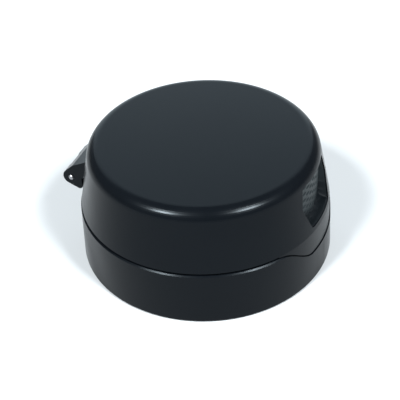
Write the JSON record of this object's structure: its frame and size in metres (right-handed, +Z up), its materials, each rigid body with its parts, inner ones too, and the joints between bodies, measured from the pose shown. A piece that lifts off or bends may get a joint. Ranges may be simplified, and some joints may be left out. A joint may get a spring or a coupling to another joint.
{
  "type": "cup anemometer",
  "caption": "Pocket cup anemometer: a round flip-top case with a spinning cup rotor, a display, push keys and a battery door.",
  "frame": {"origin": "on the case axis at the bottom face, in the mouth of the tripod thread", "axes": "+Z up through the lid, the thumb recess on +X and the lid's hinge on -X"},
  "size_m": [0.071, 0.0652, 0.032],
  "materials": {
    "case_black": "satin moulded ABS, dark slate black",
    "grip": "dotted rubbery grip face",
    "pin_steel": "turned stainless steel",
    "screw_steel": "zinc-plated steel",
    "brass": "turned brass",
    "deck": "fine-textured dark grey ABS",
    "board_green": "solder mask over glass laminate",
    "chip_black": "moulded epoxy",
    "parts_tan": "ceramic and tinned metal",
    "cell_steel": "nickel-plated steel can",
    "contact_spring": "plated spring bronze",
    "lcd": "reflective display glass",
    "lcd_strip": "striped conductive elastomer",
    "window": "clear polycarbonate",
    "seal": "nitrile O-ring",
    "bearing": "sintered bronze",
    "magnet": "bonded ferrite",
    "rotor_black": "thin-walled black polyamide",
    "hub_red": "red ABS",
    "key_red": "red ABS key",
    "key_grey": "grey ABS key"
  },
  "bodies": {
    "base": {"base_shell": "case_black", "tripod_insert": "brass", "coin_cell": "cell_steel", "battery_contact_minus": "contact_spring", "battery_contact_plus": "contact_spring", "main_board": "board_green", "board_screws": "screw_steel", "controller_chip": "chip_black", "board_parts": "parts_tan", "hall_sensor": "chip_black", "lcd_glass": "lcd", "lcd_connectors": "lcd_strip", "lcd_window": "window", "key_switches": "chip_black", "deck_plate": "deck", "deck_screws": "screw_steel", "lower_bearing": "bearing", "upper_bearing": "bearing", "hinge_pin": "pin_steel"},
    "lid": {"lid_shell": "case_black", "thumb_grip": "grip"},
    "rotor": {"rotor_shaft": "pin_steel", "retaining_ring": "pin_steel", "ring_magnet": "magnet", "rotor_hub": "rotor_black", "cup_1": "rotor_black", "cup_2": "rotor_black", "cup_3": "rotor_black", "hub_cap": "hub_red", "hub_screw": "screw_steel"},
    "power_button": {"power_key": "key_red"},
    "mode_button": {"mode_key": "key_grey"},
    "door": {"battery_door": "case_black", "door_seal": "seal"}
  },
  "joints": [
    {"name": "lid_hinge", "type": "hinge", "parent": "base", "child": "lid", "pos_m": [-0.036, 0, 0.0147], "axis": [0, -1, 0], "range_deg": [0, 160]},
    {"name": "rotor_spin", "type": "hinge", "parent": "base", "child": "rotor", "pos_m": [0, 0, 0.023], "axis": [0, 0, 1], "continuous": true},
    {"name": "power_press", "type": "slide", "parent": "base", "child": "power_button", "axis": [-1, 0, 0], "range_m": [0, 0.0005], "stiffness_N_per_m": 400},
    {"name": "mode_press", "type": "slide", "parent": "base", "child": "mode_button", "axis": [-1, 0, 0], "range_m": [0, 0.0005], "stiffness_N_per_m": 400},
    {"name": "door_turn", "type": "hinge", "parent": "base", "child": "door", "pos_m": [0, -0.018, 0], "axis": [0, 0, 1], "range_deg": [0, 60]}
  ]
}
